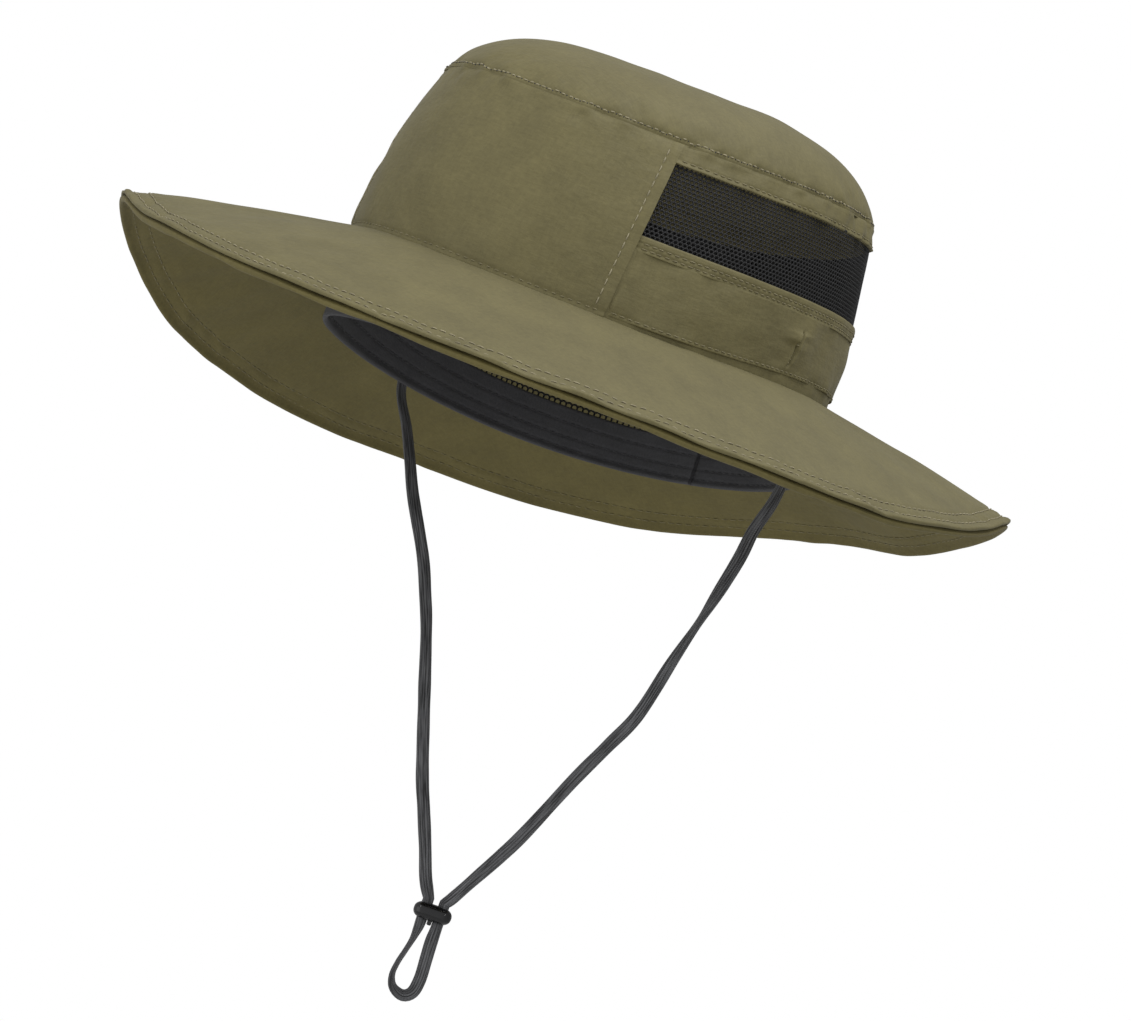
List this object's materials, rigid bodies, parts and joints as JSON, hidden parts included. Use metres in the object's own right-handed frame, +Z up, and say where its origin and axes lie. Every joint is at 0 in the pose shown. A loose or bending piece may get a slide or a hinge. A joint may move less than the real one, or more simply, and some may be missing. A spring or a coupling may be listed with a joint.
{
  "type": "fisherman hat",
  "caption": "Soft olive sun hat with a domed crown, a mesh vent round its back, a wide two-ply brim, a sweatband and a chin cord with a lock.",
  "frame": {"origin": "middle of the head opening, at the line where the crown meets the brim", "axes": "+Z up through the crown, the front faces -Y, the wearer's left is +X"},
  "size_m": [0.3047, 0.3512, 0.347],
  "materials": {
    "olive_cloth": "plain weave nylon, matt",
    "black_mesh": "open polyester net",
    "grey_sweatband": "matt knit",
    "black_cord": "flat woven cord",
    "gloss_black": "polished"
  },
  "bodies": {
    "root": {"crown_tip": "olive_cloth", "front_panel": "olive_cloth", "vent_upper_strip": "olive_cloth", "mesh_window": "black_mesh", "vent_lower_strip": "olive_cloth", "side_lower": "olive_cloth", "hat_band": "olive_cloth", "brim_upper": "olive_cloth", "brim_lower": "olive_cloth", "mesh_lining": "black_mesh", "sweatband": "grey_sweatband", "chin_cord": "black_cord", "cord_lock": "gloss_black"}
  },
  "joints": []
}
